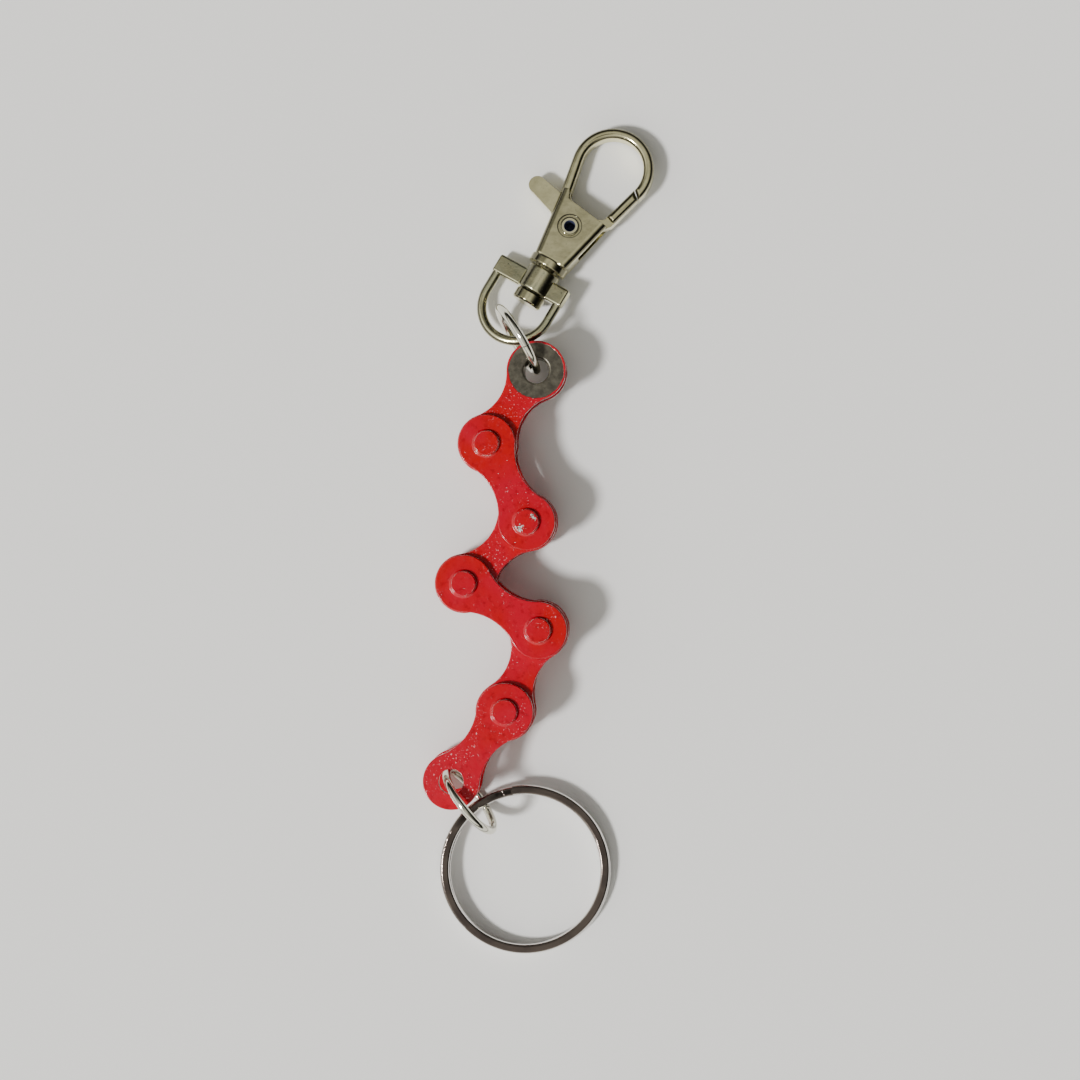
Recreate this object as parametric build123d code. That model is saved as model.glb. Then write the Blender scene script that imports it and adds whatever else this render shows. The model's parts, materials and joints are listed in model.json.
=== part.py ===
from build123d import *
import os
from math import acos, atan2, cos, degrees, hypot, radians, sin

# A key chain, lying on its back on a table: a swivel snap hook, a jump ring, a short length of
# half-inch roller chain in a zigzag, a second jump ring and a split key ring.
# Millimetres. +X right, +Y from the key ring towards the hook, +Z up out of the table.

# ---- driving dimensions: chain --------------------------------------------------------------
PITCH = 12.7                # standard half-inch pitch
LINK_HEADINGS = [-124.0, -63.0, -135.5, -32.0, -112.5, -127.5]  # degrees from +X
CHAIN_START = (-0.34, 24.35)    # the first bore
CHAIN_Z = 5.5               # height of the chain's middle plane over the table
COLLAR_R = 2.5              # half collar drawn out of an inner plate
BORE_R = 1.85               # bore of the collars
BORE_ROUND = 0.35           # rounding of a collar's mouth
PIN_R = 1.8
PIN_HALF_LENGTH = 4.45
PIN_CHAMFER = 0.12
ROLLER_R = 3.875
ROLLER_BORE_R = 2.55
ROLLER_HALF_LENGTH = 1.58
ROLLER_ROUND = 0.2
INNER_FACE = 1.65           # inner plates start here, from the middle plane
OUTER_FACE = 2.75           # outer plates start here
PLATE_THICK = 1.0
COLLAR_GAP = 0.1            # half of the gap between facing half collars
INNER_END_R = 4.3
INNER_WAIST = 2.25          # half width at the waist
OUTER_END_R = 4.1
OUTER_WAIST = 2.3
PLATE_ROUND = 0.14          # tumbled plate edges

# ---- driving dimensions: rings --------------------------------------------------------------
JUMP_R = 5.3                # mean radius
JUMP_WIRE_R = 0.6
JUMP_GAP = 0.09             # the butt joint of the bent wire
TOP_RING_HEADING = 121.0    # direction from the first bore to the ring's centre
TOP_RING_REACH = 5.4        # distance from the first bore to the ring's centre
TOP_RING_LEAN = 7.0         # off upright
TOP_RING_JOINT = -20.0      # where the butt joint sits, from the top of the ring
BOTTOM_RING_HEADING = -52.0
BOTTOM_RING_REACH = 3.95
BOTTOM_RING_LEAN = 7.0
BOTTOM_RING_JOINT = 150.0
SPLIT_R = 11.8              # mean radius of the key ring
SPLIT_WIDTH = 1.4           # radial width of its flat wire
SPLIT_TURN = 1.0            # pitch of its two turns
SPLIT_THICK = 0.96          # so that the turns lie a hair apart
SPLIT_ROUND = 0.38
SPLIT_JOG = (147.6, 100.6)  # angles between which the wire steps from one turn to the other
SPLIT_END_GAP = 2.0         # degrees between a free end and the step
SPLIT_JOG_STEPS = 8
SPLIT_SHIFT = 0.3           # the lower turn is sprung a little off centre
SPLIT_SHIFT_HEADING = -56.0
SPLIT_HEADING = -53.5       # direction from the bottom jump ring to the key ring's centre
SPLIT_REACH = 13.0
SPLIT_TILT = 3.2            # the key ring rests on the jump ring's wire and on the table

# ---- driving dimensions: snap hook ----------------------------------------------------------
# In its own frame +Y runs along the swivel axis to the hook's tip and +Z out of its flat face.
HOOK_HEADING = -31.0        # turns the hook's +Y from the part's +Y
HOOK_TILT = 3.3             # nose down
HOOK_ROLL = 4.0
HOOK_PLACE = (0.04, 38.2, 3.1)
EYE_X, EYE_Y = 0.85, 19.05  # centre of the hook's round end
EYE_OUTER_R = 6.05
EYE_INNER_R = 4.55
ARM_OUTER = (-4.2, 13.4)    # where the hook's left arm leaves the body
ARM_INNER = (-2.3, 12.0)
HOOK_ROOT = [(2.5, 11.44), (-1.6, 5.6)]     # the hook's outline ends inside the body here
BODY_CORNERS = [(4.6, 11.2), (2.8, 2.6), (-2.4, 2.6), (-2.65, 4.2), (-4.02, 13.0)]
CROTCH_R = 1.6
NOSE_ANGLES = (-20.0, -13.0)    # the hook's outer and inner faces end here
PIVOT_Y = 8.5
BODY_TIP = (-2.95, 13.3)
BODY_HALF = 2.5             # half thickness of the body at its foot
BODY_TOP_HALF = 1.75
SLOT_TOP = 12.95
HOOK_HALF = 1.5             # half thickness of the hook
HOOK_ROUND = 0.65
BODY_ROUND = 0.45
SIDE_ROUND = 0.95           # the body's long sides
SLOT_HALF = 0.95
SLOT_FLOOR = 5.2
GATE_HALF = 0.85
GATE_INNER = [(0.9, 10.5), (3.7, 12.0)]     # the gate's side towards the eye, from hub to tip
GATE_OUTER = [(5.1, 11.6), (2.2, 7.9)]      # its other side, from tip to hub
GATE_THICK_FOOT = [(3.85, 12.5), (5.2, 12.1)]   # the gate thickens here, clear of the slot
GATE_ARM_HALF = 1.35        # the gate is thicker outside the slot
GATE_ARM_ROUND = 0.6
GATE_GAP = 0.12             # between the gate's tip and the hook's nose
LEVER_END = (-7.5, 11.6)
LEVER_END_R = 1.3
LEVER_LEAVES = [(0.3, 1.26), (-0.65, -1.12)]    # where its sides leave the end, from LEVER_END
LEVER_UPPER = [(-4.0, 12.25), (-1.2, 10.6)]
LEVER_LOWER = [(-1.6, 7.0), (-3.7, 9.1)]
FOOT_TOP = 8.0
FOOT_WIDTH = 1.8
HUB_R = 2.3
EYELET_R = 1.15
EYELET_BORE = 0.82
EYELET_WEB = 0.8            # the eyelet is closed at its lower end
EYELET_LIP_R = 1.4
EYELET_LIP = 0.3
RECESS_R = 1.75
RECESS_DEPTH = 0.35
RUNNING = 0.05              # radial clearance of shafts in their holes
SPRING_X = -1.7
SPRING_R = 0.55
SPRING_WIRE_R = 0.16
SPRING_TURNS = 5
SPRING_BOTTOM = 3.9
SPRING_TOP = 6.25
NECK_R = 2.95
NECK = (1.55, 2.9)
NECK_ROUND = 0.25
STEM_R = 1.75
HEAD = (-4.3, -2.55)
HEAD_R = 2.25
HEAD_CHAMFER = 0.25
BARREL = (-2.45, 1.25)
BARREL_R = 2.5
BARREL_ROUND = 0.3
BOW_TWIST = 10.0            # the bow's swivel angle as it lies
BOW_X = -1.0                # the bow stands off the barrel's axis
BOW_ARM = 5.32              # half width of the bow at its wire's middle
BOW_STRAIGHT = -5.2
BOW_WIRE_R = 0.7
BAR_LOW = -2.45             # the bar's side towards the jump ring
BAR_TOP = 0.35              # its other side
BAR_HALF_DEPTH = 0.85
BAR_ROUND = 0.35
THROUGH = 20.0              # longer than anything it cuts
EPS = 0.01


def toward(angle, distance):
    """A step of the given length at an angle from +X, flat on the table."""
    return Vector(distance * cos(radians(angle)), distance * sin(radians(angle)), 0)


def plate_face(end_r, waist):
    """Figure-of-eight chain plate along +X from the origin, with concave flanks."""
    half = PITCH / 2
    flank_r = (half**2 + waist**2 - end_r**2) / (2 * (end_r - waist))
    share = end_r / (end_r + flank_r)
    touch_x, touch_y = half * share, (waist + flank_r) * share
    face = Circle(end_r) + Pos(PITCH, 0) * Circle(end_r)
    face += Pos(half, 0) * Rectangle(PITCH - 2 * touch_x, 2 * touch_y)
    for side in (-1, 1):
        face -= Pos(half, side * (waist + flank_r)) * Circle(flank_r)
    return face


def outline_edges(solid, heights):
    """Edges that lie flat at the given heights."""
    chosen = []
    for z in heights:
        chosen += solid.edges().filter_by_position(Axis.Z, z - EPS, z + EPS)
    return chosen


def outer_plate():
    """Upper outer plate: the pin holes are at the origin and one pitch along +X."""
    plate = extrude(plate_face(OUTER_END_R, OUTER_WAIST), PLATE_THICK)
    plate = fillet(outline_edges(plate, (0, PLATE_THICK)), PLATE_ROUND)
    for x in (0, PITCH):
        plate -= Pos(x, 0, PLATE_THICK / 2) * Cylinder(PIN_R, 2 * PLATE_THICK)
    return Pos(0, 0, OUTER_FACE) * plate


def inner_plate():
    """Upper inner plate with two half collars drawn down towards the middle plane."""
    plate = extrude(plate_face(INNER_END_R, INNER_WAIST), PLATE_THICK)
    plate = Pos(0, 0, INNER_FACE) * fillet(outline_edges(plate, (0, PLATE_THICK)), PLATE_ROUND)
    top = INNER_FACE + PLATE_THICK
    for x in (0, PITCH):
        length = top - EPS - COLLAR_GAP
        plate += Pos(x, 0, COLLAR_GAP + length / 2) * Cylinder(COLLAR_R, length)
        plate -= Pos(x, 0) * Cylinder(BORE_R, 4 * top)
    mouths = [edge for edge in plate.edges().filter_by(GeomType.CIRCLE)
              if abs(edge.radius - BORE_R) < EPS and edge.center().Z > top - EPS]
    return fillet(mouths, BORE_ROUND)


def roller():
    body = Cylinder(ROLLER_R, 2 * ROLLER_HALF_LENGTH)
    body = fillet(body.edges(), ROLLER_ROUND)
    return body - Cylinder(ROLLER_BORE_R, 4 * ROLLER_HALF_LENGTH)


def pin():
    body = Cylinder(PIN_R, 2 * PIN_HALF_LENGTH)
    return chamfer(body.edges(), PIN_CHAMFER)


def jump_ring():
    """Round wire ring in the XZ plane, with its butt joint at +Z."""
    gap = degrees(JUMP_GAP / JUMP_R)
    section = Plane.XZ * Pos(JUMP_R, 0) * Circle(JUMP_WIRE_R)
    ring = revolve(section, Axis.Z, 360 - gap)
    return Rot(90, 0, 0) * Rot(0, 0, 90 + gap / 2) * ring


def split_ring():
    """Flat wire in two turns: the upper turn, a step down, and the lower turn under it."""
    start, end = SPLIT_JOG
    sweep_angle = 360 - (start - end) - SPLIT_END_GAP
    rise = SPLIT_TURN / 2
    shift = toward(SPLIT_SHIFT_HEADING, SPLIT_SHIFT)
    wire = RectangleRounded(SPLIT_WIDTH, SPLIT_THICK, SPLIT_ROUND)

    def turn(z, centre, first):
        section = Plane.XZ * Pos(SPLIT_R, z) * wire
        return Pos(centre) * Rot(0, 0, first) * revolve(section, Axis.Z, sweep_angle)

    points = []
    for i in range(SPLIT_JOG_STEPS + 1):
        part = i / SPLIT_JOG_STEPS
        ease = part * part * (3 - 2 * part)
        level = Vector(0, 0, rise * (1 - 2 * ease))
        points.append(toward(start + part * (end - start), SPLIT_R) + level + shift * ease)
    tangents = [toward(angle - 90, 1) for angle in SPLIT_JOG]
    path = Spline(*points, tangents=tangents)
    section = Plane(origin=points[0], x_dir=toward(start, 1), z_dir=tangents[0]) * wire
    upper = turn(rise, Vector(0, 0, 0), start)
    lower = turn(-rise, shift, start + SPLIT_END_GAP)
    return upper + sweep(section, path) + lower


def tangent_point(radius, x, y, side):
    """Where the line from (x, y) touches a circle about the hook's eye, on the given side."""
    away = hypot(x - EYE_X, y - EYE_Y)
    bearing = atan2(y - EYE_Y, x - EYE_X) + side * acos(radius / away)
    return EYE_X + radius * cos(bearing), EYE_Y + radius * sin(bearing)


def eye_point(radius, angle):
    return EYE_X + radius * cos(radians(angle)), EYE_Y + radius * sin(radians(angle))


def hook_outline():
    """Plan of the hook: its root in the body, left arm, round end and nose, as one outline."""
    outer = tangent_point(EYE_OUTER_R, *ARM_OUTER, -1)
    inner = tangent_point(EYE_INNER_R, *ARM_INNER, -1)
    nose_outer = eye_point(EYE_OUTER_R, NOSE_ANGLES[0])
    nose_inner = eye_point(EYE_INNER_R, NOSE_ANGLES[1])
    lines = Polyline(inner, ARM_INNER, *HOOK_ROOT, ARM_OUTER, outer)
    lines += ThreePointArc(outer, eye_point(EYE_OUTER_R, 90), nose_outer)
    lines += Line(nose_outer, nose_inner)
    lines += ThreePointArc(nose_inner, eye_point(EYE_INNER_R, 90), inner)
    face = make_face(lines)
    return fillet(face.vertices().sort_by_distance(ARM_INNER)[0], CROTCH_R)


def faceted_edges(solid):
    """Edges round the front and back faces, leaving out those that run straight through in Z."""
    return [edge for edge in solid.edges()
            if abs((edge @ 0).Z - (edge @ 1).Z) < HOOK_HALF and abs(edge.center().Z) > HOOK_HALF / 2]


def body_half(y):
    """Half thickness of the tapered body at a height along the hook."""
    low, high = BODY_CORNERS[1][1], BODY_TIP[1]
    share = (y - low) / (high - low)
    return BODY_HALF + share * (BODY_TOP_HALF - BODY_HALF)


def body_block():
    """The tapered body, with its long sides rounded more than its ends."""
    plan = make_face(Polyline(*BODY_CORNERS, BODY_TIP, ARM_INNER, close=True))
    low, high = BODY_CORNERS[1][1], BODY_TIP[1]
    taper = Polyline((low, -body_half(low)), (high, -body_half(high)), (high, body_half(high)),
                     (low, body_half(low)), close=True)
    block = extrude(plan, THROUGH, both=True) & extrude(make_face(Plane.YZ * taper), THROUGH, both=True)
    right = (BODY_CORNERS[0][0] + BODY_CORNERS[1][0]) / 2
    left = (BODY_CORNERS[-2][0] + BODY_CORNERS[-1][0]) / 2
    sides = [edge for edge in faceted_edges(block)
             if min(abs(edge.center().X - right), abs(edge.center().X - left)) < EPS]
    block = fillet(sides, SIDE_ROUND)
    foot = [edge for edge in faceted_edges(block)
            if edge.geom_type == GeomType.LINE and abs(edge.center().Y - BODY_CORNERS[1][1]) < EPS]
    return fillet(foot, BODY_ROUND)


def hook_body():
    """Body, hook, neck flange, swivel stem and its upset head as one casting."""
    hook = extrude(hook_outline(), HOOK_HALF, both=True)
    neck = axial(NECK_R, *NECK)
    neck = fillet(neck.edges().filter_by(GeomType.CIRCLE), NECK_ROUND)
    body = body_block() + fillet(faceted_edges(hook), HOOK_ROUND) + neck
    slot = Box(THROUGH, SLOT_TOP - SLOT_FLOOR, 2 * SLOT_HALF)
    body -= Pos(0, (SLOT_FLOOR + SLOT_TOP) / 2, 0) * slot
    pocket_r = SPRING_R + SPRING_WIRE_R + RUNNING
    body -= Pos(SPRING_X, 0, 0) * axial(pocket_r, SPRING_BOTTOM, SLOT_FLOOR + EPS)
    body -= Pos(0, PIVOT_Y, 0) * Cylinder(EYELET_R, THROUGH)
    for face in (-1, 1):
        centre = face * (body_half(PIVOT_Y) + THROUGH / 2 - RECESS_DEPTH)
        body -= Pos(0, PIVOT_Y, centre) * Cylinder(RECESS_R, THROUGH)
    head = axial(HEAD_R, *HEAD)
    head = chamfer(head.edges(), HEAD_CHAMFER)
    return body + head + axial(STEM_R, HEAD[1] - HEAD_CHAMFER, NECK[0] + HEAD_CHAMFER)


def axial(radius, low, high):
    """A cylinder along the hook's own Y axis."""
    return extrude(Plane.XZ.offset(-low) * Circle(radius), low - high)


def gate_tips():
    """The inner and outer corner of the hook's nose, moved back by the gate's gap."""
    inner = Vector(*eye_point(EYE_INNER_R, NOSE_ANGLES[1]))
    outer = Vector(*eye_point(EYE_OUTER_R, NOSE_ANGLES[0]))
    along = (outer - inner).normalized()
    back = Vector(along.Y, -along.X) * GATE_GAP
    return [((corner + back).X, (corner + back).Y) for corner in (inner, outer)]


def gate_lever():
    """Gate, hub, thumb lever and the foot that bears on the spring, as one casting."""
    tips = gate_tips()
    plan = Pos(0, PIVOT_Y) * Circle(HUB_R)
    plan += make_face(Polyline(*GATE_INNER, *tips, *GATE_OUTER, close=True))
    end_x, end_y = LEVER_END
    upper, lower = [(end_x + x, end_y + y) for x, y in LEVER_LEAVES]
    plan += make_face(Polyline(upper, *LEVER_UPPER, *LEVER_LOWER, lower, close=True))
    plan += Pos(*LEVER_END) * Circle(LEVER_END_R)
    foot = Rectangle(FOOT_WIDTH, FOOT_TOP - SPRING_TOP)
    plan += Pos(SPRING_X, (SPRING_TOP + FOOT_TOP) / 2 + RUNNING) * foot
    inner_foot, outer_foot = GATE_THICK_FOOT
    thick = extrude(make_face(Polyline(inner_foot, *tips, outer_foot, close=True)), GATE_ARM_HALF, both=True)
    thick = fillet(thick.edges().filter_by(lambda edge: abs(edge.center().Z) > GATE_HALF), GATE_ARM_ROUND)
    gate = extrude(plan, GATE_HALF, both=True) + thick
    return gate - Pos(0, PIVOT_Y, 0) * Cylinder(EYELET_R + RUNNING, THROUGH)


def gate_rivet():
    """Hollow eyelet with a rolled lip in each face of the body."""
    seat = body_half(PIVOT_Y) - RECESS_DEPTH
    eyelet = Cylinder(EYELET_R, 2 * seat)
    for face in (-1, 1):
        lip = Cylinder(EYELET_LIP_R, EYELET_LIP)
        outer = lip.edges().sort_by(Axis.Z)[-1 if face > 0 else 0]
        eyelet += Pos(0, 0, face * (seat + EYELET_LIP / 2)) * fillet(outer, EYELET_LIP / 2)
    bore = Pos(0, 0, EYELET_WEB - seat + THROUGH / 2) * Cylinder(EYELET_BORE, THROUGH)
    return Pos(0, PIVOT_Y, 0) * (eyelet - bore)


def gate_spring():
    """Small compression spring that stands along Y under the gate's foot."""
    height = SPRING_TOP - SPRING_BOTTOM - 2 * SPRING_WIRE_R
    path = Helix(pitch=height / SPRING_TURNS, height=height, radius=SPRING_R)
    section = Plane(origin=path @ 0, z_dir=path % 0) * Circle(SPRING_WIRE_R)
    spring = sweep(section, path, is_frenet=True)
    return Pos(SPRING_X, SPRING_BOTTOM + SPRING_WIRE_R, 0) * Rot(-90, 0, 0) * spring


def swivel_bow():
    """Round-wire bow on a bar, with a barrel that turns on the hook's stem."""
    bar_y = (BAR_LOW + BAR_TOP) / 2
    path = Line((BOW_ARM, bar_y), (BOW_ARM, BOW_STRAIGHT))
    path += ThreePointArc((BOW_ARM, BOW_STRAIGHT), (0, BOW_STRAIGHT - BOW_ARM), (-BOW_ARM, BOW_STRAIGHT))
    path += Line((-BOW_ARM, BOW_STRAIGHT), (-BOW_ARM, bar_y))
    section = Plane(origin=(BOW_ARM, bar_y, 0), z_dir=(0, -1, 0)) * Circle(BOW_WIRE_R)
    bar = Pos(0, bar_y) * Box(2 * (BOW_ARM + BOW_WIRE_R), BAR_TOP - BAR_LOW, 2 * BAR_HALF_DEPTH)
    bow = Pos(BOW_X, 0, 0) * (sweep(section, path) + fillet(bar.edges(), BAR_ROUND))
    barrel = axial(BARREL_R, *BARREL)
    bow += fillet(barrel.edges().filter_by(GeomType.CIRCLE), BARREL_ROUND)
    return bow - axial(STEM_R + RUNNING, BAR_LOW - BAR_ROUND, BARREL[1] + BARREL_ROUND)


def hook_location():
    """Where the snap hook lies: nose down on the table and rolled a little."""
    return Pos(*HOOK_PLACE) * Rot(0, 0, HOOK_HEADING) * Rot(-HOOK_TILT, 0, 0) * Rot(0, -HOOK_ROLL, 0)


def bow_location():
    return hook_location() * Rot(0, -BOW_TWIST, 0)


def chain_pivots():
    """The bores and pins, from the first bore to the last outer link's empty end."""
    pivots = [Vector(*CHAIN_START, CHAIN_Z)]
    for angle in LINK_HEADINGS:
        pivots.append(pivots[-1] + toward(angle, PITCH))
    return pivots


def ring_location(bore, angle, reach, lean, joint):
    """An upright jump ring that stands on the table, with its butt joint turned round by joint."""
    centre = bore + toward(angle, reach)
    height = JUMP_R * cos(radians(lean)) + JUMP_WIRE_R
    return Pos(centre.X, centre.Y, height) * Rot(0, 0, angle) * Rot(lean, 0, 0) * Rot(0, joint, 0)


def top_ring_location():
    return ring_location(chain_pivots()[0], TOP_RING_HEADING, TOP_RING_REACH, TOP_RING_LEAN, TOP_RING_JOINT)


def bottom_ring_location():
    return ring_location(chain_pivots()[-1], BOTTOM_RING_HEADING, BOTTOM_RING_REACH, BOTTOM_RING_LEAN,
                         BOTTOM_RING_JOINT)


def split_location():
    """The key ring lies on the table at its far side and on the jump ring's wire at the near one."""
    centre = bottom_ring_location().position + toward(SPLIT_HEADING, SPLIT_REACH)
    reach = SPLIT_R + SPLIT_WIDTH / 2
    height = reach * sin(radians(SPLIT_TILT)) + (SPLIT_TURN + SPLIT_THICK) / 2
    tilt = Rot(0, 0, SPLIT_HEADING) * Rot(0, SPLIT_TILT, 0) * Rot(0, 0, -SPLIT_HEADING)
    return Pos(centre.X, centre.Y, height) * tilt


def chain():
    """Plates, rollers and pins, by node name."""
    pivots = chain_pivots()
    plates = {"inner": inner_plate(), "outer": outer_plate()}
    parts = {}
    for i, angle in enumerate(LINK_HEADINGS):
        kind = ("inner", "outer")[i % 2]
        place = Pos(pivots[i]) * Rot(0, 0, angle)
        name = f"{kind}_plate_{i // 2 + 1}"
        parts[name + "_top"] = place * plates[kind]
        parts[name + "_bottom"] = place * Rot(180, 0, 0) * plates[kind]
    for i, pivot in enumerate(pivots[:-1]):
        parts[f"roller_{i}"] = Pos(pivot) * roller()
        if i:
            parts[f"pin_{i}"] = Pos(pivot) * pin()
    return parts


def assembly():
    """Every sub-part where it lies, by node name, over the origin at the box's bottom centre."""
    parts = {
        "hook_body": hook_location() * hook_body(),
        "gate_lever": hook_location() * gate_lever(),
        "gate_rivet": hook_location() * gate_rivet(),
        "gate_spring": hook_location() * gate_spring(),
        "swivel_bow": bow_location() * swivel_bow(),
        "top_jump_ring": top_ring_location() * jump_ring(),
        **chain(),
        "bottom_jump_ring": bottom_ring_location() * jump_ring(),
        "split_ring": split_location() * split_ring(),
    }
    boxes = [part.bounding_box() for part in parts.values()]
    low = [min(getattr(box.min, axis) for box in boxes) for axis in "XYZ"]
    high = [max(getattr(box.max, axis) for box in boxes) for axis in "XYZ"]
    shift = Vector(-(low[0] + high[0]) / 2, -(low[1] + high[1]) / 2, -low[2])
    return {name: Pos(shift) * part for name, part in parts.items()}, shift


def main():
    os.makedirs("parts", exist_ok=True)
    parts, shift = assembly()
    for name, part in parts.items():
        export_step(part, f"parts/{name}.step")
    print(len(parts), "sub-parts, moved by", tuple(round(value, 3) for value in shift))


if __name__ == "__main__":
    main()
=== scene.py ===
import json
import math

import bpy
from mathutils import Matrix, Vector


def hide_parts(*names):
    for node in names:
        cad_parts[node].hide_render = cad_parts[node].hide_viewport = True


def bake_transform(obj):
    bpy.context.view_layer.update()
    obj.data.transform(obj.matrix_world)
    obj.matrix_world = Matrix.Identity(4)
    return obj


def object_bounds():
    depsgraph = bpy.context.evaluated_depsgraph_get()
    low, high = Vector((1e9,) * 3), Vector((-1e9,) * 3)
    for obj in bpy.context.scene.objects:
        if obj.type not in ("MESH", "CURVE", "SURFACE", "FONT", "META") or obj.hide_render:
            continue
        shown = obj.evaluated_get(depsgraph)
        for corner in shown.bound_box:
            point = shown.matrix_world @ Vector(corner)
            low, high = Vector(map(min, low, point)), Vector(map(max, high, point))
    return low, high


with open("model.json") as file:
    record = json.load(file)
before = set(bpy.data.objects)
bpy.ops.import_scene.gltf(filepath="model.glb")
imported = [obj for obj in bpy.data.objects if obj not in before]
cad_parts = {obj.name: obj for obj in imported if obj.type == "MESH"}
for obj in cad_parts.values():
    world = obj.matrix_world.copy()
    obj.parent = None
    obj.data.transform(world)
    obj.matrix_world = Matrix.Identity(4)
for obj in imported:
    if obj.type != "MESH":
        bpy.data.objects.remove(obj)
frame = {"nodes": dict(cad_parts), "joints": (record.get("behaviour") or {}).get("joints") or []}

# Looks for a key chain: a nickel snap hook, a red half-inch chain, two jump rings and a split ring.
# Lengths are metres, and MM turns millimetres into them.

MM = 0.001
SMOOTH_BELOW = 32               # degrees between faces
CAD_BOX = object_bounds()
NODES = frame["nodes"]
JOINTS = {joint["name"]: joint for joint in frame["joints"]}

# ---- camera and light -------------------------------------------------------------------------
CAMERA_PLACE = Vector((18, 0.4, 320)) * MM
CAMERA_TARGET = Vector((0, 0.4, 4)) * MM
CAMERA_LENS = 72.2              # mm, on a 36 mm sensor
FLOOR_SIZE = 20
FLOOR_COLOUR = (0.93, 0.93, 0.93)
SUN_AZIMUTH = 210               # degrees from +X
SUN_HEIGHT = 52                 # degrees over the table
SUN_WIDTH = 9                   # degrees across, so shadows are fairly crisp
SUN_STRENGTH = 3.3
SUN_COLOUR = (1.0, 0.985, 0.96)
OVERHEAD = ((0.978, 0.72), (0.991, 0.12))   # a dark patch at the zenith, behind the camera
SKY_LEFT = ((0.0, 0.55), (0.07, 0.10), (0.20, 0.16), (0.36, 1.6), (0.66, 1.35), (0.88, 0.74), *OVERHEAD)
SKY_RIGHT = ((0.0, 0.45), (0.06, 0.025), (0.45, 0.02), (0.68, 0.06), (0.84, 0.22), (0.95, 0.68), *OVERHEAD)
SKY_TINT = (1.0, 0.985, 0.90)
SKY_STRENGTH = 0.9
SKY_AZIMUTH = SUN_AZIMUTH + 15  # the middle of the bright side
SKY_CHANGE = (-0.15, 0.45)      # where the dark side turns into the bright one

# ---- colours ------------------------------------------------------------------------------------
CRIMSON = (0.49, 0.0, 0.018)
SCARLET = (0.48, 0.0, 0.005)
RED_DEEP = (0.23, 0.0, 0.004)
# pale pink nicks, partly scuffs and partly painted glints
SCUFF_AND_GLINT = (0.90, 0.42, 0.46)
PAINT_DEPTH = 0.05              # mm
PAINT_POOL = 0.15               # mm that the paint rises round a pin
MENISCUS = (1.80, 2.14)         # mm from a pin's axis, where the paint runs down to the plate
DISC_DARK = (0.058, 0.052, 0.040)
DISC_LIGHT = (0.150, 0.138, 0.104)
BARE_DARK = (0.07, 0.066, 0.062)
# light bare steel, made near white as a partly painted glint
BARE_LIGHT_AND_GLINT = (0.96, 0.94, 0.91)
STEEL = (0.52, 0.50, 0.46)
NICKEL = (0.80, 0.755, 0.47)
NICKEL_DULL = (0.58, 0.545, 0.32)
NICKEL_GREEN = (0.66, 0.67, 0.46)
NICKEL_PIT = (0.22, 0.23, 0.17)
WIRE_NICKEL = (0.80, 0.79, 0.70)
# the key ring's painted reflections: bright on its rounded edges, dark on its flats
RING_GLINT = (0.85, 0.82, 0.79)
RING_DARK_REFLECTION = (0.105, 0.085, 0.078)
RING_BROWN_REFLECTION = (0.16, 0.130, 0.115)
NICKEL_SHADE = (0.085, 0.080, 0.062)     # painted shade on slopes, in corners and in shadow rings
# painted shade inside the rivet's bore
BORE_SHADE = (0.05, 0.06, 0.13)
BORE_REACH = 0.86               # mm from the rivet's axis
BORE_EDGE = 0.02                # mm
RIVET_SHADOW = (1.23, 0.10)     # mm: a painted shadow ring's radius and half width
RECESS_SHADOW = (1.76, 0.10)

# ---- the chain -----------------------------------------------------------------------------------
BARE_DISC = 4.0                 # mm, radius of the unpainted patch round the chain's first bore
CHIP_SPOTS = [((-0.9, -0.9), 0.42), ((1.0, 0.7), 0.30)]     # mm, place and radius on the second pin's head
PLATE_PINS = {"outer_plate_1": (1, 2), "outer_plate_2": (3, 4), "outer_plate_3": (5,)}


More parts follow.
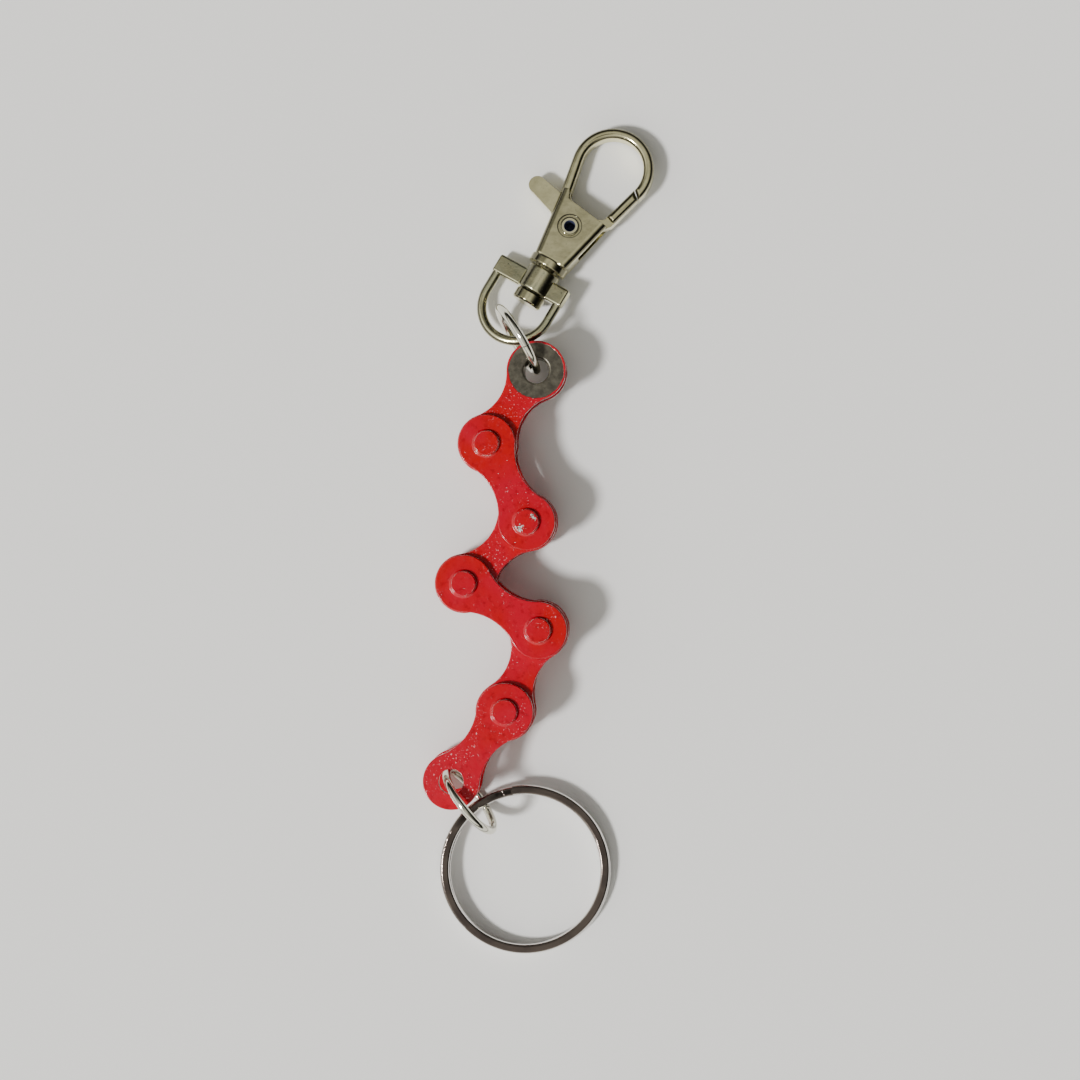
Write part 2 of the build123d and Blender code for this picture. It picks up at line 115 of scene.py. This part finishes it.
class Shader:
    """A material with one Principled shader, and short names for the nodes that feed it."""

    def __init__(self, name):
        self.material = bpy.data.materials.new(name)
        self.material.use_nodes = True
        self.tree = self.material.node_tree
        self.shader = self.tree.nodes["Principled BSDF"]
        self.object = self.add("ShaderNodeTexCoord").outputs["Object"]
        self.bumps = None

    def add(self, kind, **settings):
        node = self.tree.nodes.new(kind)
        for key, value in settings.items():
            setattr(node, key, value)
        return node

    def link(self, source, socket):
        if hasattr(source, "is_output"):
            self.tree.links.new(source, socket)
        else:
            socket.default_value = source

    def noise(self, size_mm, detail=3.0, roughness=0.5):
        """Noise from 0 to 1 whose lumps are about size_mm across."""
        node = self.add("ShaderNodeTexNoise")
        node.inputs["Scale"].default_value = 1 / (size_mm * MM)
        node.inputs["Detail"].default_value = detail
        node.inputs["Roughness"].default_value = roughness
        self.link(self.object, node.inputs["Vector"])
        return node.outputs["Fac"]

    def math(self, operation, a, b=0.0):
        node = self.add("ShaderNodeMath", operation=operation)
        self.link(a, node.inputs[0])
        self.link(b, node.inputs[1])
        return node.outputs["Value"]

    def step(self, value, low, high):
        """0 below low, 1 above high, and smooth between them. Low may be above high."""
        node = self.add("ShaderNodeMapRange", interpolation_type="SMOOTHSTEP")
        self.link(value, node.inputs["Value"])
        node.inputs["From Min"].default_value = low
        node.inputs["From Max"].default_value = high
        return node.outputs["Result"]

    def blend(self, factor, a, b):
        """Colour a where factor is 0 and b where it is 1."""
        node = self.add("ShaderNodeMix", data_type="RGBA")
        self.link(factor, node.inputs["Factor"])
        for value, socket in ((a, node.inputs[6]), (b, node.inputs[7])):
            self.link(value if hasattr(value, "is_output") else (*value, 1), socket)
        return node.outputs[2]

    def lerp(self, factor, a, b):
        """Number a where factor is 0 and b where it is 1."""
        node = self.add("ShaderNodeMix", data_type="FLOAT")
        self.link(factor, node.inputs["Factor"])
        self.link(a, node.inputs[2])
        self.link(b, node.inputs[3])
        return node.outputs[0]

    def distance(self, centre):
        """Distance in mm from the upright line through a point."""
        away = self.add("ShaderNodeVectorMath", operation="SUBTRACT")
        self.link(self.object, away.inputs[0])
        away.inputs[1].default_value = centre
        scaled = self.add("ShaderNodeVectorMath", operation="MULTIPLY")
        self.link(away.outputs["Vector"], scaled.inputs[0])
        scaled.inputs[1].default_value = (1 / MM, 1 / MM, 0)
        length = self.add("ShaderNodeVectorMath", operation="LENGTH")
        self.link(scaled.outputs["Vector"], length.inputs[0])
        return length.outputs["Value"]

    def axis_distance(self, centre, axis):
        """Distance in mm from the line through a point along a unit axis."""
        away = self.add("ShaderNodeVectorMath", operation="SUBTRACT")
        self.link(self.object, away.inputs[0])
        away.inputs[1].default_value = centre
        cross = self.add("ShaderNodeVectorMath", operation="CROSS_PRODUCT")
        self.link(away.outputs["Vector"], cross.inputs[0])
        cross.inputs[1].default_value = axis
        length = self.add("ShaderNodeVectorMath", operation="LENGTH")
        self.link(cross.outputs["Vector"], length.inputs[0])
        return self.math("MULTIPLY", length.outputs["Value"], 1 / MM)

    def bevel(self, radius_mm):
        """The surface's normal, rounded over sharp edges."""
        node = self.add("ShaderNodeBevel", samples=4)
        node.inputs["Radius"].default_value = radius_mm * MM
        return node.outputs["Normal"]

    def edge(self, radius_mm):
        """1 on sharp edges and 0 on flat faces."""
        geometry = self.add("ShaderNodeNewGeometry")
        dot = self.add("ShaderNodeVectorMath", operation="DOT_PRODUCT")
        self.link(self.bevel(radius_mm), dot.inputs[0])
        self.link(geometry.outputs["Normal"], dot.inputs[1])
        return self.step(self.math("SUBTRACT", 1.0, dot.outputs["Value"]), 0.02, 0.25)

    def crevice(self, reach_mm):
        """1 deep in corners and gaps, and 0 in the open."""
        node = self.add("ShaderNodeAmbientOcclusion", samples=6)
        node.inputs["Distance"].default_value = reach_mm * MM
        return self.step(node.outputs["AO"], 0.72, 0.38)

    def ring(self, centre, axis, radius, half_width):
        """1 at radius mm from an axis, and 0 more than half_width away from that."""
        away = self.math("ABSOLUTE", self.math("SUBTRACT", self.axis_distance(centre, axis), radius))
        return self.step(away, half_width, half_width * 0.4)

    def facing_up(self):
        """How far the surface faces up or down in the part's frame, from 0 to 1."""
        coordinates = self.add("ShaderNodeTexCoord")
        parts = self.add("ShaderNodeSeparateXYZ")
        self.link(coordinates.outputs["Normal"], parts.inputs["Vector"])
        return self.math("ABSOLUTE", parts.outputs["Z"])

    def soften(self, radius_mm):
        """Rounds the shading of sharp edges. It comes before any bump."""
        self.bumps = self.bevel(radius_mm)

    def bump(self, height, depth_mm):
        """Adds a bump whose height of 1 is depth_mm."""
        node = self.add("ShaderNodeBump")
        node.inputs["Distance"].default_value = depth_mm * MM
        self.link(height, node.inputs["Height"])
        if self.bumps is not None:
            self.link(self.bumps, node.inputs["Normal"])
        self.bumps = node.outputs["Normal"]

    def finish(self, colour, roughness, metallic=0.0):
        self.link(colour, self.shader.inputs["Base Color"])
        self.link(roughness, self.shader.inputs["Roughness"])
        self.link(metallic, self.shader.inputs["Metallic"])
        if self.bumps is not None:
            self.link(self.bumps, self.shader.inputs["Normal"])
        return self.material


def nickel(name, bright, dull, haze, rough=0.14, pits=0.5, slope_shade=0.0, grit=0.005, shadow=None):
    """Nickel plate: a warm mirror with soft cloudy haze, faint waves, small dark pits and painted shade in
    its corners.

    slope_shade is how much painted shade darkens its rounded edges, grit is the depth in mm of its grain, and
    shadow is the centre, axis, radius and half width of a painted shadow ring.
    """
    s = Shader(name)
    s.soften(0.10)
    cloud = s.step(s.noise(2.6, 4, 0.6), 0.32, 0.72)
    speck = s.step(s.noise(0.42, 2, 0.7), 0.64, 0.72)
    colour = s.blend(s.math("MULTIPLY", cloud, haze), bright, dull)
    colour = s.blend(s.math("MULTIPLY", speck, pits), colour, NICKEL_PIT)
    # Painted shade: darker on the rounded slopes, in corners and gaps, and in the shadow ring.
    facing = s.facing_up()
    slope = s.math("MULTIPLY", s.step(facing, 0.96, 0.84), s.step(facing, 0.30, 0.46))
    dark = s.math("MAXIMUM", s.math("MULTIPLY", slope, slope_shade), s.math("MULTIPLY", s.crevice(0.45), 0.85))
    if shadow is not None:
        dark = s.math("MAXIMUM", dark, s.math("MULTIPLY", s.ring(*shadow), 0.9))
    colour = s.blend(dark, colour, NICKEL_SHADE)
    roughness = s.lerp(s.noise(1.5, 3), rough * 0.6, rough * 1.7)
    s.bump(s.noise(2.4, 2), 0.05)
    s.bump(s.noise(0.3, 3, 0.6), grit)
    return s.finish(colour, roughness, 1.0)


def key_ring_nickel(name):
    """Nickel on the key ring's wire, with a painted dark reflection on its flats and a painted bright
    reflection on its rounded edges.
    """
    s = Shader(name)
    flat_reflection = s.blend(s.step(s.noise(4.0, 3), 0.35, 0.65), RING_DARK_REFLECTION, RING_BROWN_REFLECTION)
    colour = s.blend(s.step(s.facing_up(), 0.93, 0.70), flat_reflection, RING_GLINT)
    s.bump(s.noise(2.0, 2), 0.02)
    return s.finish(colour, s.lerp(s.noise(1.5, 3), 0.08, 0.20), 1.0)


def rivet_nickel(name, centre, axis):
    """The hollow rivet: nickel with a painted shadow ring round its lip, and painted shade inside its bore.
    """
    s = Shader(name)
    inside = s.step(s.axis_distance(centre, axis), BORE_REACH + BORE_EDGE, BORE_REACH - BORE_EDGE)
    plate = s.blend(s.ring(centre, axis, *RIVET_SHADOW), NICKEL, NICKEL_SHADE)
    colour = s.blend(inside, plate, BORE_SHADE)
    s.bump(s.noise(0.5, 3), 0.006)
    return s.finish(colour, s.lerp(inside, 0.10, 0.6), s.math("SUBTRACT", 1.0, inside))


def red_paint(name, disc=None, chips=0.5, chip_spots=(), pins=(), scuffs_and_glints=0.3):
    """Glossy red lacquer over steel.

    disc is (centre, radius in mm) of a round patch left unpainted, chip_spots are (centre, radius in mm)
    of flaked patches, pins are the axes that the paint pools round, chips is how worn the edges are, and
    scuffs_and_glints is how much of the surface has pale nicks, partly scuffs and partly painted glints.
    """
    s = Shader(name)
    s.soften(0.12)
    tone = s.blend(s.step(s.noise(9.0, 2), 0.38, 0.62), CRIMSON, SCARLET)
    tone = s.blend(s.math("MULTIPLY", s.step(s.noise(0.9, 4, 0.6), 0.50, 0.75), 0.55), tone, RED_DEEP)
    # pale nicks: partly scuffs in the lacquer and partly painted glints
    scuff_glint_area = s.step(s.noise(3.5, 2), 0.62 - 0.2 * scuffs_and_glints, 0.72 - 0.2 * scuffs_and_glints)
    scuff_glint_spot = s.step(s.noise(0.30, 3, 0.75), 0.625, 0.655)
    tone = s.blend(s.math("MULTIPLY", s.math("MULTIPLY", scuff_glint_area, scuff_glint_spot), 0.85), tone, SCUFF_AND_GLINT)
    edge_wear = s.math("MULTIPLY", s.edge(0.2), s.noise(0.8, 5, 0.7))
    chipped = s.step(edge_wear, 0.52 - 0.1 * chips, 0.57 - 0.1 * chips)
    side = s.step(s.facing_up(), 0.4, 0.15)
    worn = s.math("MULTIPLY", side, s.step(s.noise(2.5, 3), 0.42, 0.50))
    patch = s.math("MAXIMUM", chipped, worn)
    for centre, radius in chip_spots:
        ragged = s.math("MULTIPLY", s.math("SUBTRACT", s.noise(0.3, 4), 0.5), 2.2)
        reach = s.math("ADD", s.distance(centre), ragged)
        patch = s.math("MAXIMUM", patch, s.step(reach, radius + 0.05, radius - 0.05))
    # bare steel in chips and worn patches, whose light tone is partly a painted glint
    steel = s.blend(s.step(s.noise(0.9, 4, 0.65), 0.38, 0.56), BARE_DARK, BARE_LIGHT_AND_GLINT)
    colour = s.blend(patch, tone, steel)
    bare = patch
    if disc is not None:
        centre, radius = disc
        wobble = s.math("MULTIPLY", s.math("SUBTRACT", s.noise(0.7, 3), 0.5), 0.35)
        round_patch = s.step(s.math("ADD", s.distance(centre), wobble), radius + 0.05, radius - 0.05)
        oiled = s.blend(s.step(s.noise(1.0, 5, 0.7), 0.3, 0.75), DISC_DARK, DISC_LIGHT)
        colour = s.blend(round_patch, colour, oiled)
        bare = s.math("MAXIMUM", patch, round_patch)
    painted = s.math("SUBTRACT", 1.0, bare)
    roughness = s.lerp(bare, s.lerp(s.noise(0.5, 3, 0.6), 0.10, 0.22), 0.30)
    nibs = s.step(s.noise(0.38, 1, 0.4), 0.66, 0.76)
    s.bump(s.noise(1.3, 2), 0.035)
    s.bump(s.math("MULTIPLY", nibs, painted), 0.012)
    for centre in pins:
        s.bump(s.step(s.distance(centre), MENISCUS[1], MENISCUS[0]), PAINT_POOL)
    s.bump(painted, PAINT_DEPTH)
    return s.finish(colour, roughness, s.math("MULTIPLY", bare, 0.5))


def roller_steel(name):
    """Dark oiled roller with overspray from the lacquer."""
    s = Shader(name)
    spray = s.step(s.noise(1.6, 4, 0.6), 0.44, 0.62)
    steel = s.blend(s.step(s.noise(1.2, 4, 0.6), 0.35, 0.75), DISC_DARK, STEEL)
    s.bump(s.noise(0.4, 3), 0.01)
    return s.finish(s.blend(spray, steel, RED_DEEP), 0.35, s.math("SUBTRACT", 1.0, spray))


def assign(material, *names):
    for name in names:
        slots = NODES[name].data.materials
        slots.clear()
        slots.append(material)


def joint_place(name):
    return Vector(JOINTS[name]["pos_m"])


def paint_everything():
    """Gives each CAD node its material."""
    first = joint_place("chain_end_swing")
    flaked = joint_place("link_pivot_2")
    for name in NODES:
        if name.startswith("inner_plate_1"):
            assign(red_paint(f"paint_{name}", disc=(first, BARE_DISC), chips=0.8, scuffs_and_glints=1.0), name)
        elif name == "pin_2":
            spots = [(flaked + Vector((*place, 0)) * MM, radius) for place, radius in CHIP_SPOTS]
            assign(red_paint("paint_pin_2", chip_spots=spots), name)
        elif name.startswith(("inner_plate", "outer_plate", "pin")):
            scuffs_and_glints = 0.8 if name.startswith(("inner_plate", "outer_plate_3")) else 0.4
            pins = [joint_place(f"link_pivot_{i}") for i in PLATE_PINS.get(name[:13], ())]
            assign(red_paint(f"paint_{name}", chips=0.8, pins=pins, scuffs_and_glints=scuffs_and_glints), name)
    pivot, pivot_axis = joint_place("gate_pivot"), JOINTS["gate_pivot"]["axis"]
    # a painted shadow ring round the rivet's recess
    recess = (pivot, pivot_axis, *RECESS_SHADOW)
    cast = nickel("nickel_cast", NICKEL, NICKEL_DULL, haze=0.7, rough=0.11, pits=0.25, slope_shade=0.85,
                  shadow=recess)
    assign(cast, "hook_body", "gate_lever")
    assign(rivet_nickel("nickel_rivet", pivot, pivot_axis), "gate_rivet")
    bow = nickel("nickel_bow", NICKEL, NICKEL_GREEN, haze=0.85, rough=0.16, pits=0.8, slope_shade=0.85, grit=0.012)
    assign(bow, "swivel_bow")
    wire = nickel("nickel_wire", WIRE_NICKEL, NICKEL_DULL, haze=0.25, rough=0.08, pits=0.15)
    assign(wire, "top_jump_ring", "bottom_jump_ring")
    assign(key_ring_nickel("nickel_dark"), "split_ring")
    rollers = roller_steel("roller_steel")
    assign(rollers, *(name for name in NODES if name.startswith("roller")))


def build_spring():
    """The gate's spring: a still copy of the CAD spring with its foot in the body's pocket, shown in place of
    the hidden CAD node.
    """
    spring = bpy.data.objects.new("gate_coil", NODES["gate_spring"].data.copy())
    bpy.context.scene.collection.objects.link(spring)
    spring.data.materials.clear()
    spring.data.materials.append(nickel("spring_wire", STEEL, BARE_DARK, haze=0.3))
    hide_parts("gate_spring")
    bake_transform(spring)


def smooth_shading():
    """Smooth shading on every CAD node, kept sharp at its edges."""
    for node in NODES.values():
        node.data.shade_smooth()
        node.data.set_sharp_from_angle(angle=math.radians(SMOOTH_BELOW))


def floor_paint(name):
    """Plain pale matt paint with a trace of unevenness."""
    s = Shader(name)
    shade = s.blend(s.noise(30, 3), FLOOR_COLOUR, tuple(0.985 * value for value in FLOOR_COLOUR))
    return s.finish(shade, 0.6)


def build_floor():
    """The table that the object lies on."""
    mesh = bpy.data.meshes.new("floor")
    half = FLOOR_SIZE / 2
    z = CAD_BOX[0][2]
    corners = [(-half, -half, z), (half, -half, z), (half, half, z), (-half, half, z)]
    mesh.from_pydata(corners, [], [(0, 1, 2, 3)])
    mesh.materials.append(floor_paint("floor_white"))
    floor = bpy.data.objects.new("floor", mesh)
    bpy.context.scene.collection.objects.link(floor)


def build_sun():
    """The key light, from the lower left."""
    data = bpy.data.lights.new("key", "SUN")
    data.energy = SUN_STRENGTH
    data.angle = math.radians(SUN_WIDTH)
    data.color = SUN_COLOUR
    sun = bpy.data.objects.new("key", data)
    around, height = math.radians(SUN_AZIMUTH), math.radians(SUN_HEIGHT)
    level = math.cos(height)
    toward = Vector((level * math.cos(around), level * math.sin(around), math.sin(height)))
    sun.rotation_euler = toward.to_track_quat("Z", "Y").to_euler()
    bpy.context.scene.collection.objects.link(sun)


def build_sky():
    """Studio surroundings: bright to the lower left, dark to the right, with a dark patch overhead."""
    world = bpy.data.worlds.new("studio")
    bpy.context.scene.world = world
    world.use_nodes = True
    nodes, links = world.node_tree.nodes, world.node_tree.links
    coords = nodes.new("ShaderNodeTexCoord")
    split = nodes.new("ShaderNodeSeparateXYZ")
    links.new(coords.outputs["Generated"], split.inputs["Vector"])
    colours = []
    for stops in (SKY_RIGHT, SKY_LEFT):
        ramp = nodes.new("ShaderNodeValToRGB")
        links.new(split.outputs["Z"], ramp.inputs["Fac"])
        elements = ramp.color_ramp.elements
        while len(elements) < len(stops):
            elements.new(0.5)
        for element, (place, value) in zip(elements, stops):
            element.position = place
            element.color = (*(value * tint for tint in SKY_TINT), 1)
        colours.append(ramp.outputs["Color"])
    around = math.radians(SKY_AZIMUTH)
    side = nodes.new("ShaderNodeVectorMath")
    side.operation = "DOT_PRODUCT"
    links.new(coords.outputs["Generated"], side.inputs[0])
    side.inputs[1].default_value = (math.cos(around), math.sin(around), 0)
    share = nodes.new("ShaderNodeMapRange")
    share.interpolation_type = "SMOOTHSTEP"
    share.inputs["From Min"].default_value = SKY_CHANGE[0]
    share.inputs["From Max"].default_value = SKY_CHANGE[1]
    links.new(side.outputs["Value"], share.inputs["Value"])
    mix = nodes.new("ShaderNodeMix")
    mix.data_type = "RGBA"
    links.new(share.outputs["Result"], mix.inputs["Factor"])
    for colour, socket in zip(colours, (mix.inputs[6], mix.inputs[7])):
        links.new(colour, socket)
    links.new(mix.outputs[2], nodes["Background"].inputs["Color"])
    nodes["Background"].inputs["Strength"].default_value = SKY_STRENGTH


def build_camera():
    """A long lens, three degrees from straight over the table, with the picture's up along Y."""
    data = bpy.data.cameras.new("camera")
    data.lens = CAMERA_LENS
    data.sensor_width = 36
    data.clip_start = 0.01
    camera = bpy.data.objects.new("camera", data)
    camera.location = CAMERA_PLACE
    back = (CAMERA_PLACE - CAMERA_TARGET).normalized()
    right = Vector((0, 1, 0)).cross(back).normalized()
    camera.rotation_euler = Matrix((right, back.cross(right), back)).transposed().to_euler()
    bpy.context.scene.collection.objects.link(camera)
    bpy.context.scene.camera = camera


build_camera()
build_floor()
build_sun()
build_sky()
smooth_shading()
paint_everything()
build_spring()
